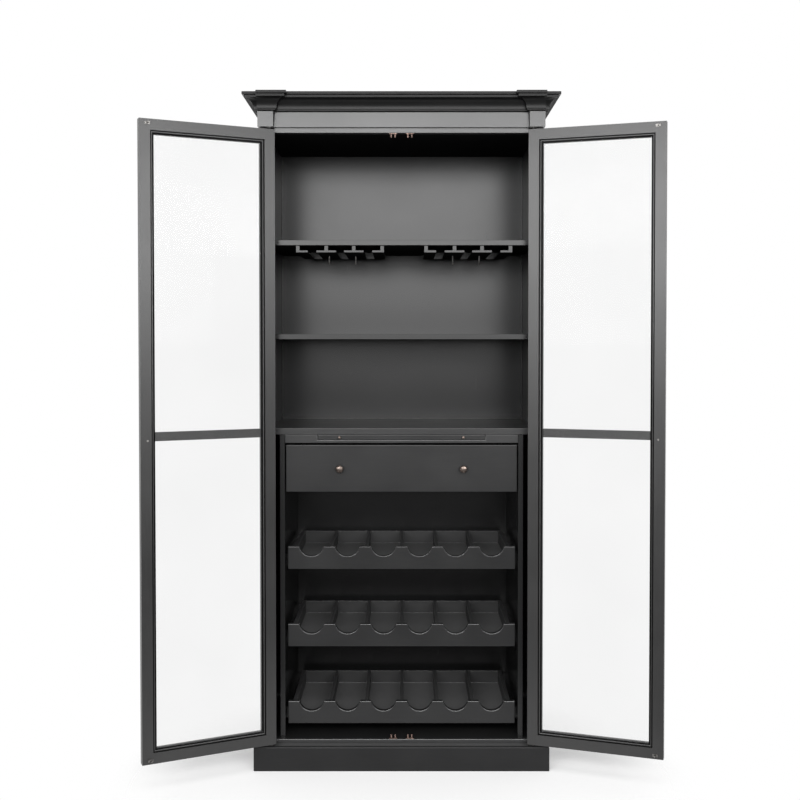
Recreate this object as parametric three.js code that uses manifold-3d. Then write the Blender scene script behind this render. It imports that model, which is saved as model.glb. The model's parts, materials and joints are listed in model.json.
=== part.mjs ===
// Bar armoire: two glazed doors, a serving tray, a drawer and three wine racks that pull out.
// Millimetres, +Z up, the front faces -Y. The origin is on the floor under the middle of the carcass.

import * as THREE from 'three';
import { mergeVertices } from 'three/addons/utils/BufferGeometryUtils.js';
import Module from 'manifold-3d';

const wasm = await Module();
wasm.setup();

// Carcass
const bodyHalf = 430;
const bodyDepth = 450;
const sideThickness = 16;
const backThickness = 6;
const backInset = 10;
const panelThickness = 16;
const faceFrameThickness = 20;
const stileWidth = 43;
const bottomRailHeight = 40;

// Plinth
const plinthHeight = 76;
const plinthFrontThickness = 31;
const plinthSideThickness = 21;
const plinthEdgeRadius = 6;
const plinthEdgeSteps = 5;
const bearerThickness = 18;

// Levels, each set out from the one below it
const bottomRailReveal = 12;
const openingHeight = 1855;
const headReveal = 15;
const friezeHeight = 46;
const crownHeight = 45;
const capThickness = 9;
const floorTop = plinthHeight + bottomRailReveal;
const headBottom = floorTop + openingHeight;
const friezeBottom = headBottom + headReveal;
const crownBottom = friezeBottom + friezeHeight;
const crownTop = crownBottom + crownHeight;
const totalHeight = crownTop + capThickness;

// Frieze and cornice
const friezeThickness = 8;
const friezeReturnThickness = 4;
const breakout = 18;
const postWidth = 47;
const capOverhang = 6;
const crownFoot = 3;
const crownBead = 8.5;
const crownBeadHeight = 6;
const crownStep = 11;
const crownStepHeight = 14;
const crownCoveFoot = 12;
const crownCoveHead = 36;
const crownCoveTop = 37;
const crownProjection = 38;
const crownCoveSteps = 8;

// Doors
const doorEdgeInset = 22.5;
const doorThickness = 22;
const doorPlinthGap = 8;
const doorHeadOverlap = 5;
const doorBottom = plinthHeight + doorPlinthGap;
const doorTop = headBottom + doorHeadOverlap;
const doorHalfGap = 1.5;
const doorWidth = bodyHalf - doorEdgeInset - doorHalfGap;
const doorFaceGap = 3.5;
const doorPlainWidth = 32;
const doorSightWidth = 43;
const rebateDepth = 11;
const glassThickness = 4;
const beadThickness = 4.2;
const muntinHeight = 26;
const muntinRise = 937;
const muntinBottom = doorBottom + muntinRise;
const muntinTop = muntinBottom + muntinHeight;
const pivotFromEdge = 10;
const pivotFromInnerFace = 17;
const leftOpeningAngle = 154.5;
const rightOpeningAngle = 161.5;

// Pivot hinges
const pivotPinRadius = 2.5;
const pivotBoreRadius = 3.1;
const pivotPinReach = 12;
const pivotBoreDepth = 14;
const hingePlateThickness = 3;
const hingePlateHalf = 10.5;
const hingePlateFront = 5;
const hingePlateBack = 19.5;
const washerRadius = 6;

// Catches and strikes
const catchFromMiddle = 25.5;
const catchPlateThickness = 2;
const catchPlateHalf = 12;
const catchFrontInset = 3;
const catchPlateDepth = 16;
const rollerRadius = 3;
const rollerHeight = 10;
const rollerOffset = 6;
const strikeHalfWidth = 7.5;
const strikeHalfHeight = 4;
const strikePlateThickness = 1.5;
const tongueHalf = 2;
const tongueLength = 13;

// Wine section, counter and shelves
const bayInset = 55;
const bayHalf = bodyHalf - sideThickness - bayInset;
const linerThickness = 15;
const linerHeight = 936;
const counterThickness = 20;
const lowerShelfRise = 289;
const upperShelfRise = 288;
const shelfSideGap = 0.5;
const shelfFrontInset = 2;
const counterBottom = floorTop + linerHeight;
const counterTop = counterBottom + counterThickness;
const lowerShelfTop = counterTop + lowerShelfRise;
const upperShelfTop = lowerShelfTop + upperShelfRise;
const pegRadius = 2.5;
const pegLength = 9;
const pegInset = 55;

// Serving tray
const trayRailHeight = 26;
const slotHeight = 16.5;
const slotInset = 101;
const trayRailBottom = counterBottom - trayRailHeight;
const slotBottom = counterBottom - slotHeight;
const slotHalf = bayHalf - slotInset;
const trayDepth = 370;
const guideWidth = 20;
const guideExtra = 12;

// Drawer
const frontThickness = 18;
const drawerSideGap = 3.5;
const drawerTopGap = 6;
const drawerFrontHeight = 144;
const drawerBoxDrop = 28;
const drawerHalf = bayHalf - drawerSideGap;
const drawerTop = trayRailBottom - drawerTopGap;
const drawerBottom = drawerTop - drawerFrontHeight;
const drawerSideThickness = 12;
const drawerFloorThickness = 10;

// Wine racks
const rackNames = ['bottom', 'middle', 'top'];
const rackFloorGap = 42;
const rackPitch = 239.75;
const rackSideGap = 9;
const rackFrontHalf = bayHalf - rackSideGap;
const rackFrontHeight = 69;
const bottleCount = 6;
const rackEdgeMargin = 16.4;
const bottlePitch = ((rackFrontHalf - rackEdgeMargin) * 2) / bottleCount;
const scallopRadius = 39;
const scallopDepth = 30;
const scallopSteps = 16;
const boxDepth = 357;
const boxLift = 6;
const boxRim = 56;
const boxSideThickness = 12;
const boxFloorThickness = 10;
const dividerThickness = 10;

// Rack and drawer runners, fixed to the liners
const runnerUpright = 13;
const runnerBoxGap = 6;
const runnerLedge = 12;
const runnerFlangeThickness = 4;
const runnerHeight = 34;
const runnerFrontGap = 30;
const runnerRearExtra = 30;

// Stemware racks
const stemRackCentres = [-189, 205];
const stemRackHalf = 135;
const stemTeeCentre = 42.25;
const stemWebWidth = 11;
const stemTeeHalf = 30;
const stemEllWidth = 36;
const stemFlangeThickness = 6;
const stemRackDrop = 21;
const stemRackFront = -195;
const stemRackLength = 280;
const stemRearThickness = 12;
const stopPinRadius = 1.75;
const stopPinLength = 28;

// Knobs
const knobFromSlotEnd = 68;
const drawerKnobRadius = 12;
const drawerKnobLength = 24;
const trayKnobRadius = 5;
const trayKnobLength = 10;
const doorKnobRadius = 15;
const doorKnobLength = 26;
const doorKnobFromEdge = 20;
const doorKnobRise = 939;
const screwRadius = 2;
const screwBoreRadius = 2.4;
const screwHeadRadius = 3.5;
const screwHeadThickness = 1.6;
const knobSides = 20;
const pinSides = 16;

// Clearance between pieces that turn together or slide, and the length by which cuts run over
const gap = 0.3;
const overrun = 2;

// Turns in degrees
const halfTurnAngle = 180;
const quarterTurnAngle = 90;

// Colours and their roughness
const blackPaint = 0x17181a;
const paintRoughness = 0.45;
const pewter = 0x7a7067;
const metalRoughness = 0.35;
const clearGlass = 0xe8eeec;
const glassRoughness = 0.05;

// Planes worked out from the sizes above
const front = -bodyDepth / 2;
const rear = bodyDepth / 2;
const innerHalf = bodyHalf - sideThickness;
const frameBack = front + faceFrameThickness;
const openingHalf = bodyHalf - stileWidth;
const backFront = rear - backInset - backThickness;
const friezeFront = front - friezeThickness;
const friezeHalf = bodyHalf + friezeReturnThickness;
const postInner = friezeHalf - postWidth;
const frontBoardBack = frameBack + frontThickness;
const rackBases = rackNames.map((_, index) => floorTop + rackFloorGap + index * rackPitch);
const boxHalf = bayHalf - runnerUpright - runnerBoxGap;
const boxRear = frontBoardBack + boxDepth;
const runnerInner = boxHalf - runnerLedge;
const runnerRear = boxRear + runnerRearExtra;
const knobFromMiddle = slotHalf - knobFromSlotEnd;
const drawerKnobHeight = (drawerBottom + drawerTop) / 2;
const trayKnobHeight = (slotBottom + counterBottom) / 2;
const doorKnobHeight = doorBottom + doorKnobRise;
const pivotX = doorHalfGap + doorWidth - pivotFromEdge;
const pivotY = front - doorFaceGap - pivotFromInnerFace;

function mesh(name, geometry, color, roughness, metalness) {
  const piece = new THREE.Mesh(geometry, new THREE.MeshStandardMaterial({ color, roughness, metalness }));
  piece.name = name;
  return piece;
}

function wooden(name, geometry) {
  return mesh(name, geometry, blackPaint, paintRoughness, 0);
}

function metal(name, geometry) {
  return mesh(name, geometry, pewter, metalRoughness, 1);
}

function at(x, y, z) {
  return new THREE.Vector3(x, y, z);
}

// A box between two corners. Either end of a range may come first.
function box([xa, xb], [ya, yb], [za, zb]) {
  const geometry = new THREE.BoxGeometry(Math.abs(xb - xa), Math.abs(yb - ya), Math.abs(zb - za));
  return geometry.translate((xa + xb) / 2, (ya + yb) / 2, (za + zb) / 2);
}

// An upright round bar from one level to another.
function post(radius, x, y, [za, zb]) {
  const geometry = new THREE.CylinderGeometry(radius, radius, Math.abs(zb - za), pinSides);
  return geometry.rotateX(Math.PI / 2).translate(x, y, (za + zb) / 2);
}

// A round bar that lies from front to back.
function rod(radius, x, [ya, yb], z) {
  const geometry = new THREE.CylinderGeometry(radius, radius, Math.abs(yb - ya), pinSides);
  return geometry.translate(x, (ya + yb) / 2, z);
}

function toSolid(geometry) {
  const shell = geometry.clone();
  shell.deleteAttribute('normal');
  shell.deleteAttribute('uv');
  const merged = mergeVertices(shell);
  const vertProperties = new Float32Array(merged.attributes.position.array);
  const triVerts = new Uint32Array(merged.index.array);
  return new wasm.Manifold(new wasm.Mesh({ numProp: 3, vertProperties, triVerts }));
}

function toGeometry(solid) {
  const { vertProperties, triVerts } = solid.getMesh();
  const geometry = new THREE.BufferGeometry();
  geometry.setAttribute('position', new THREE.BufferAttribute(new Float32Array(vertProperties), 3));
  geometry.setIndex(new THREE.BufferAttribute(new Uint32Array(triVerts), 1));
  geometry.computeVertexNormals();
  return geometry;
}

function join(...geometries) {
  return toGeometry(geometries.map(toSolid).reduce((whole, piece) => whole.add(piece)));
}

function cut(base, ...tools) {
  return toGeometry(tools.map(toSolid).reduce((whole, tool) => whole.subtract(tool), toSolid(base)));
}

// A closed solid between two copies of one outline, each placed point by point.
function loft(shape, startAt, endAt) {
  const clockwise = THREE.ShapeUtils.isClockWise(shape.map(([u, v]) => new THREE.Vector2(u, v)));
  const outline = clockwise ? [...shape].reverse() : shape;
  const flat = outline.map(([u, v]) => new THREE.Vector2(u, v));
  const points = [...outline.map(startAt), ...outline.map(endAt)];
  const count = outline.length;
  const triangles = [];
  for (const [a, b, c] of THREE.ShapeUtils.triangulateShape(flat, [])) {
    triangles.push([a, b, c], [c + count, b + count, a + count]);
  }
  for (let i = 0; i < count; i += 1) {
    const next = (i + 1) % count;
    triangles.push([next, i, i + count], [next, i + count, next + count]);
  }
  const volume = triangles.reduce((sum, [a, b, c]) => {
    const cross = new THREE.Vector3().crossVectors(points[b], points[c]);
    return sum + points[a].dot(cross);
  }, 0);
  const facing = volume > 0 ? triangles : triangles.map(([a, b, c]) => [c, b, a]);
  const geometry = new THREE.BufferGeometry().setFromPoints(points);
  geometry.setIndex(facing.flat());
  geometry.computeVertexNormals();
  return geometry;
}

// Points on an arc from one angle to another, in degrees.
function arc(centreU, centreV, radius, from, to, steps) {
  return Array.from({ length: steps + 1 }, (_, i) => {
    const angle = THREE.MathUtils.degToRad(from + ((to - from) * i) / steps);
    return [centreU + radius * Math.cos(angle), centreV + radius * Math.sin(angle)];
  });
}

// The plinth's section: depth behind the outer face, and height. The top outer edge is round.
function plinthSection(thickness) {
  const r = plinthEdgeRadius;
  const edge = arc(r, plinthHeight - r, r, halfTurnAngle, quarterTurnAngle, plinthEdgeSteps);
  return [[0, 0], ...edge, [thickness, plinthHeight], [thickness, 0]];
}

function plinth() {
  const outerX = bodyHalf + plinthSideThickness;
  const outerY = front - plinthFrontThickness;
  const mitre = plinthSideThickness / plinthFrontThickness;
  const end = (d) => outerX - d * mitre - gap;
  const frontBoard = loft(
    plinthSection(plinthFrontThickness),
    ([d, z]) => at(-end(d), outerY + d, z),
    ([d, z]) => at(end(d), outerY + d, z),
  );
  const sideBoard = (side) => loft(
    plinthSection(plinthSideThickness),
    ([d, z]) => at(side * (outerX - d), outerY + d / mitre + gap, z),
    ([d, z]) => at(side * (outerX - d), rear, z),
  );
  const bearerTop = floorTop - panelThickness;
  const rearFront = backFront - bearerThickness;
  const bearers = join(
    box([-innerHalf, innerHalf], [rearFront, backFront], [0, bearerTop]),
    box([-bearerThickness / 2, bearerThickness / 2], [frameBack, rearFront + overrun], [0, bearerTop]),
  );
  return [
    wooden('plinth_front', frontBoard),
    wooden('plinth_side_left', sideBoard(-1)),
    wooden('plinth_side_right', sideBoard(1)),
    wooden('plinth_bearers', bearers),
  ];
}

// A side panel carries the four pegs that the two shelves lie on.
function sidePanel(side) {
  const panel = box([side * innerHalf, side * bodyHalf], [frameBack, rear], [0, crownTop]);
  const pegs = [lowerShelfTop, upperShelfTop].flatMap((top) => {
    const z = top - panelThickness - pegRadius - gap;
    return [frameBack + pegInset, backFront - pegInset].map((y) => {
      const peg = new THREE.CylinderGeometry(pegRadius, pegRadius, pegLength + overrun, pinSides);
      return peg.rotateZ(Math.PI / 2).translate(side * (innerHalf + (overrun - pegLength) / 2), y, z);
    });
  });
  return join(panel, ...pegs);
}

function carcass() {
  const railBottom = floorTop - bottomRailHeight;
  const floorLow = floorTop - panelThickness;
  const bottomPanel = join(
    box([-innerHalf, innerHalf], [frameBack, backFront], [floorLow, floorTop]),
    box([-openingHalf, openingHalf], [front, frameBack + overrun], [floorLow, floorTop]),
    box([-openingHalf, openingHalf], [front, frameBack], [railBottom, floorTop]),
  );
  const stile = (side) => box([side * openingHalf, side * bodyHalf], [front, frameBack], [0, crownTop]);
  return [
    wooden('side_panel_left', sidePanel(-1)),
    wooden('side_panel_right', sidePanel(1)),
    wooden('face_stile_left', stile(-1)),
    wooden('face_stile_right', stile(1)),
    wooden('head_rail', box([-openingHalf, openingHalf], [front, frameBack], [headBottom, crownTop])),
    wooden('bottom_panel', bottomPanel),
    wooden('top_panel', box(
      [-innerHalf, innerHalf],
      [frameBack, backFront],
      [headBottom, headBottom + panelThickness],
    )),
    wooden('back_panel', box(
      [-innerHalf, innerHalf],
      [backFront, backFront + backThickness],
      [floorTop, crownTop],
    )),
  ];
}

// The cornice's section: projection from the frieze, and height.
function crownSection() {
  const beadTop = crownBottom + crownBeadHeight;
  const coveBottom = crownBottom + crownStepHeight;
  const coveTop = crownBottom + crownCoveTop;
  const cove = Array.from({ length: crownCoveSteps + 1 }, (_, i) => {
    const angle = (Math.PI / 2) * (i / crownCoveSteps);
    return [
      crownCoveFoot + (crownCoveHead - crownCoveFoot) * (1 - Math.cos(angle)),
      coveBottom + (coveTop - coveBottom) * Math.sin(angle),
    ];
  });
  return [
    [0, crownBottom],
    [crownFoot, crownBottom],
    [crownBead, (crownBottom + beadTop) / 2],
    [crownBead, beadTop],
    [crownStep, beadTop],
    [crownStep, coveBottom],
    ...cove,
    [crownProjection, coveTop],
    [crownProjection, crownTop],
    [0, crownTop],
  ];
}

// A moulded block that stands forward of the cornice over each corner post.
function pilasterCap(side) {
  const [foot, ...rest] = crownSection().slice(0, -1);
  const profile = [[foot[0], foot[1] - overrun], ...rest];
  const faces = profile.map(([p, z]) => [p + breakout, z, p]);
  const backs = profile.map(([p, z]) => [p + gap, z, p]).reverse();
  const moulding = loft(
    [...faces, ...backs],
    ([d, z, p]) => at(side * (postInner - p), friezeFront - d, z),
    ([d, z]) => at(side * friezeHalf, friezeFront - d, z),
  );
  const block = box(
    [side * postInner, side * friezeHalf],
    [friezeFront - breakout, friezeFront],
    [friezeBottom, crownBottom],
  );
  return join(block, moulding);
}

function cornice() {
  const section = crownSection();
  const frontRun = loft(
    section,
    ([p, z]) => at(-(friezeHalf + p - gap), friezeFront - p, z),
    ([p, z]) => at(friezeHalf + p - gap, friezeFront - p, z),
  );
  const sideRun = (side) => loft(
    section,
    ([p, z]) => at(side * (friezeHalf + p), friezeFront - p + gap, z),
    ([p, z]) => at(side * (friezeHalf + p), rear, z),
  );
  const sideBand = (side) => box(
    [side * bodyHalf, side * friezeHalf],
    [front - overrun, rear],
    [friezeBottom, crownTop],
  );
  const band = join(
    box([-friezeHalf, friezeHalf], [friezeFront, front], [friezeBottom, crownTop]),
    sideBand(-1),
    sideBand(1),
  );
  const reach = crownProjection + capOverhang;
  const capFront = friezeFront - reach;
  const cap = join(
    box([-(friezeHalf + reach), friezeHalf + reach], [capFront, rear], [crownTop, totalHeight]),
    ...[-1, 1].map((side) => box(
      [side * (postInner - reach), side * friezeHalf],
      [capFront - breakout, capFront + overrun],
      [crownTop, totalHeight],
    )),
  );
  return [
    wooden('frieze_band', band),
    wooden('pilaster_cap_left', pilasterCap(-1)),
    wooden('pilaster_cap_right', pilasterCap(1)),
    wooden('crown_front', frontRun),
    wooden('crown_left', sideRun(-1)),
    wooden('crown_right', sideRun(1)),
    wooden('cornice_cap', cap),
  ];
}

// A liner carries the runners of the three racks and the drawer.
function liner(side) {
  const board = box(
    [side * bayHalf, side * (bayHalf + linerThickness)],
    [frameBack, backFront],
    [floorTop, counterBottom],
  );
  const deep = [frontBoardBack + runnerFrontGap, runnerRear];
  const runners = [...rackBases, drawerBottom].flatMap((base) => {
    const flangeTop = base + boxLift - gap;
    const low = flangeTop - runnerFlangeThickness;
    return [
      box([side * (bayHalf - runnerUpright), side * (bayHalf + overrun)], deep, [low, low + runnerHeight]),
      box([side * runnerInner, side * (bayHalf + overrun)], deep, [low, flangeTop]),
    ];
  });
  return join(board, ...runners);
}

function shelf(top) {
  const half = innerHalf - shelfSideGap;
  return box([-half, half], [frameBack + shelfFrontInset, backFront], [top - panelThickness, top]);
}

// Two tees and two ells hang glasses by the foot. A board joins them at the rear.
function stemwareRack(centre) {
  const ceiling = upperShelfTop - panelThickness;
  const low = ceiling - stemRackDrop;
  const far = stemRackFront + stemRackLength;
  const deep = [stemRackFront, far];
  const web = [low, ceiling];
  const flange = [low, low + stemFlangeThickness];
  const pieces = [box([centre - stemRackHalf, centre + stemRackHalf], [far - stemRearThickness, far], web)];
  for (const side of [-1, 1]) {
    const outer = centre + side * stemRackHalf;
    const tee = centre + side * stemTeeCentre;
    pieces.push(
      box([outer, outer - side * stemWebWidth], deep, web),
      box([outer, outer - side * stemEllWidth], deep, flange),
      box([tee - stemWebWidth / 2, tee + stemWebWidth / 2], deep, web),
      box([tee - stemTeeHalf, tee + stemTeeHalf], deep, flange),
      post(stopPinRadius, tee, (stemRackFront + far) / 2, [low - stopPinLength, low + overrun]),
    );
  }
  return join(...pieces);
}

function interior() {
  const counter = box([-innerHalf, innerHalf], [frameBack, backFront], [counterBottom, counterTop]);
  return [
    wooden('shelf_upper', shelf(upperShelfTop)),
    wooden('shelf_lower', shelf(lowerShelfTop)),
    wooden('counter_top', counter),
    wooden('liner_left', liner(-1)),
    wooden('liner_right', liner(1)),
    wooden('stemware_rack_left', stemwareRack(stemRackCentres[0])),
    wooden('stemware_rack_right', stemwareRack(stemRackCentres[1])),
  ];
}

// A turned knob: foot, neck and a domed head, standing out to the front.
function knob(radius, length) {
  const shares = [
    [0, 0], [0.55, 0], [0.55, 0.1], [0.4, 0.2], [0.36, 0.42], [0.62, 0.55], [0.95, 0.66],
    [1, 0.76], [0.92, 0.87], [0.62, 0.96], [0, 1],
  ];
  const profile = shares.map(([r, along]) => new THREE.Vector2(r * radius, along * length));
  return new THREE.LatheGeometry(profile, knobSides).rotateX(Math.PI);
}

function frontKnob(name, side, radius, length, z) {
  return metal(name, knob(radius, length).translate(side * knobFromMiddle, frameBack - gap, z));
}

function tray() {
  const half = slotHalf - gap - gap;
  const slotCut = box(
    [-slotHalf, slotHalf],
    [frameBack - overrun, frontBoardBack + overrun],
    [slotBottom, counterBottom + overrun],
  );
  const rail = cut(
    box([-bayHalf, bayHalf], [frameBack, frontBoardBack], [trayRailBottom, counterBottom]),
    slotCut,
  );
  const deep = [frontBoardBack - overrun, frameBack + trayDepth + guideExtra];
  const guides = [-1, 1].flatMap((side) => [
    box([side * slotHalf, side * (slotHalf + guideWidth)], deep, [trayRailBottom, counterBottom]),
    box([side * (slotHalf - guideWidth), side * (slotHalf + overrun)], deep, [trayRailBottom, slotBottom]),
  ]);
  const board = box(
    [-half, half],
    [frameBack, frameBack + trayDepth],
    [slotBottom + gap, counterBottom - gap],
  );
  return [
    wooden('tray_housing', join(rail, ...guides)),
    wooden('serving_tray', board),
    frontKnob('tray_knob_left', -1, trayKnobRadius, trayKnobLength, trayKnobHeight),
    frontKnob('tray_knob_right', 1, trayKnobRadius, trayKnobLength, trayKnobHeight),
  ];
}

function drawer() {
  const t = drawerSideThickness;
  const low = drawerBottom + boxLift;
  const high = drawerTop - drawerBoxDrop;
  const hollow = box(
    [t - boxHalf, boxHalf - t],
    [frontBoardBack + t, boxRear - t],
    [low + drawerFloorThickness, high + overrun],
  );
  const tub = cut(box([-boxHalf, boxHalf], [frontBoardBack, boxRear], [low, high]), hollow);
  const face = box([-drawerHalf, drawerHalf], [frameBack, frontBoardBack], [drawerBottom, drawerTop]);
  return [
    wooden('drawer_front', face),
    wooden('drawer_box', tub),
    frontKnob('drawer_knob_left', -1, drawerKnobRadius, drawerKnobLength, drawerKnobHeight),
    frontKnob('drawer_knob_right', 1, drawerKnobRadius, drawerKnobLength, drawerKnobHeight),
  ];
}

// A rack's front board has one round notch for each bottle.
function rackFront(base) {
  const lift = scallopRadius - scallopDepth;
  const reach = THREE.MathUtils.radToDeg(Math.asin(lift / scallopRadius));
  const outline = [[-rackFrontHalf, 0], [rackFrontHalf, 0], [rackFrontHalf, rackFrontHeight]];
  for (let i = bottleCount - 1; i >= 0; i -= 1) {
    const centre = (i - (bottleCount - 1) / 2) * bottlePitch;
    const end = reach - halfTurnAngle;
    outline.push(...arc(centre, rackFrontHeight + lift, scallopRadius, -reach, end, scallopSteps));
  }
  outline.push([-rackFrontHalf, rackFrontHeight]);
  return loft(
    outline,
    ([x, z]) => at(x, frameBack, base + z),
    ([x, z]) => at(x, frontBoardBack, base + z),
  );
}

// A rack's box: floor, two sides, a rear board and the dividers between bottles.
function rackBox(base) {
  const low = base + boxLift;
  const high = base + boxRim;
  const deep = [frontBoardBack, boxRear];
  const across = [-boxHalf, boxHalf];
  const sides = [-1, 1].map((side) => (
    box([side * (boxHalf - boxSideThickness), side * boxHalf], deep, [low, high])
  ));
  const dividers = Array.from({ length: bottleCount - 1 }, (_, i) => {
    const x = (i - (bottleCount - 2) / 2) * bottlePitch;
    return box([x - dividerThickness / 2, x + dividerThickness / 2], deep, [low, high]);
  });
  return join(
    box(across, deep, [low, low + boxFloorThickness]),
    box(across, [boxRear - boxSideThickness, boxRear], [low, high]),
    ...sides,
    ...dividers,
  );
}

function wineRack(base, index) {
  return [
    wooden(`rack_front_${rackNames[index]}`, rackFront(base)),
    wooden(`rack_box_${rackNames[index]}`, rackBox(base)),
  ];
}

// A plate with the pin that a door turns on. up is 1 on the plinth and -1 under the frieze.
function hingePlate(name, side, up) {
  const x = side * pivotX;
  const level = up > 0 ? plinthHeight : friezeBottom;
  const face = level + up * hingePlateThickness;
  const doorEdge = up > 0 ? doorBottom : doorTop;
  const plate = box(
    [x - hingePlateHalf, x + hingePlateHalf],
    [pivotY - hingePlateFront, pivotY + hingePlateBack],
    [level, face],
  );
  const pin = post(pivotPinRadius, x, pivotY, [face - up * overrun, doorEdge + up * pivotPinReach]);
  const washer = post(washerRadius, x, pivotY, [face - up * overrun, doorEdge - up * gap]);
  return metal(name, up > 0 ? join(plate, pin, washer) : join(plate, pin));
}

// Two rollers on a plate hold a door's tongue. up is 1 on the floor and -1 under the head rail.
function catchAt(name, side, up) {
  const x = side * catchFromMiddle;
  const level = up > 0 ? floorTop : headBottom;
  const face = level + up * catchPlateThickness;
  const near = front + catchFrontInset;
  const far = near + catchPlateDepth;
  const plate = box([x - catchPlateHalf, x + catchPlateHalf], [near, far], [level, face]);
  const rollers = [-1, 1].map((step) => (
    post(rollerRadius, x + step * rollerOffset, (near + far) / 2, [level, face + up * rollerHeight])
  ));
  return metal(name, join(plate, ...rollers));
}

// One door, built closed about its own pivot. side is -1 on the left and 1 on the right.
function door(side, name, openingAngle) {
  const across = (u) => -side * (u - pivotFromEdge);
  const wide = (ua, ub) => [across(ua), across(ub)];
  const deep = (da, db) => [pivotFromInnerFace - da, pivotFromInnerFace - db];
  const ring = (inset) => [wide(inset, doorWidth - inset), [doorBottom + inset, doorTop - inset]];
  const [outerX, outerZ] = ring(0);
  const [rebateX, rebateZ] = ring(doorPlainWidth);
  const [sightX, sightZ] = ring(doorSightWidth);
  const knobX = across(doorWidth - doorKnobFromEdge);

  const panel = cut(
    box(outerX, deep(0, doorThickness), outerZ),
    box(rebateX, deep(-overrun, rebateDepth), rebateZ),
    box(sightX, deep(rebateDepth - overrun, doorThickness + overrun), sightZ),
  );
  const muntin = box(
    wide(doorSightWidth - overrun, doorWidth - doorSightWidth + overrun),
    deep(rebateDepth, doorThickness),
    [muntinBottom, muntinTop],
  );
  const frame = cut(
    join(panel, muntin),
    post(pivotBoreRadius, 0, 0, [doorTop - pivotBoreDepth, doorTop + overrun]),
    post(pivotBoreRadius, 0, 0, [doorBottom - overrun, doorBottom + pivotBoreDepth]),
    rod(screwBoreRadius, knobX, deep(-overrun, doorThickness + overrun), doorKnobHeight),
  );

  const [paneX, paneZ] = ring(doorPlainWidth + gap);
  const paneBack = rebateDepth - gap;
  const pane = box(paneX, deep(paneBack - glassThickness, paneBack), paneZ);

  const beadBack = paneBack - glassThickness - gap;
  const bead = cut(
    box(paneX, deep(beadBack - beadThickness, beadBack), paneZ),
    box(sightX, deep(-overrun, beadBack + overrun), sightZ),
  );

  const knobFoot = pivotFromInnerFace - doorThickness - gap;
  const headSeat = pivotFromInnerFace + gap;
  const headFace = headSeat + screwHeadThickness;
  const knobAndScrew = join(
    knob(doorKnobRadius, doorKnobLength).translate(knobX, knobFoot, doorKnobHeight),
    rod(screwRadius, knobX, [knobFoot - overrun, headFace], doorKnobHeight),
    rod(screwHeadRadius, knobX, [headSeat, headFace], doorKnobHeight),
  );

  const strikeX = across(doorWidth + doorHalfGap - catchFromMiddle);
  const strikeFace = pivotFromInnerFace + gap;
  const strike = (z) => join(
    box(
      [strikeX - strikeHalfWidth, strikeX + strikeHalfWidth],
      [strikeFace, strikeFace + strikePlateThickness],
      [z - strikeHalfHeight, z + strikeHalfHeight],
    ),
    box(
      [strikeX - tongueHalf, strikeX + tongueHalf],
      [strikeFace + strikePlateThickness / 2, strikeFace + tongueLength],
      [z - tongueHalf, z + tongueHalf],
    ),
  );
  const rollerMiddle = catchPlateThickness + rollerHeight / 2;

  const group = new THREE.Group();
  group.add(
    wooden(`door_${name}_frame`, frame),
    wooden(`door_${name}_bead`, bead),
    mesh(`door_${name}_glass`, pane, clearGlass, glassRoughness, 0),
    metal(`door_${name}_knob`, knobAndScrew),
    metal(`door_${name}_strike_top`, strike(headBottom - rollerMiddle)),
    metal(`door_${name}_strike_bottom`, strike(floorTop + rollerMiddle)),
  );
  group.position.set(side * pivotX, pivotY, 0);
  group.rotation.z = side * THREE.MathUtils.degToRad(openingAngle);
  return group;
}

const armoire = new THREE.Group();
armoire.add(...plinth(), ...carcass(), ...cornice(), ...interior(), ...tray(), ...drawer());
armoire.add(...rackBases.flatMap(wineRack));
armoire.add(
  hingePlate('hinge_plate_top_left', -1, -1),
  hingePlate('hinge_plate_top_right', 1, -1),
  hingePlate('hinge_plate_bottom_left', -1, 1),
  hingePlate('hinge_plate_bottom_right', 1, 1),
  catchAt('catch_top_left', -1, -1),
  catchAt('catch_top_right', 1, -1),
  catchAt('catch_bottom_left', -1, 1),
  catchAt('catch_bottom_right', 1, 1),
);
armoire.add(door(-1, 'left', leftOpeningAngle), door(1, 'right', rightOpeningAngle));

export default armoire;
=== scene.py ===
"""The bar armoire's visible surfaces: satin paint, glass, pewter knobs and small steel fittings."""

import json
import logging
import math
from dataclasses import dataclass, field
from enum import Enum
from typing import Callable, ClassVar

import bmesh
import bpy
from mathutils import Matrix, Vector

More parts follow.
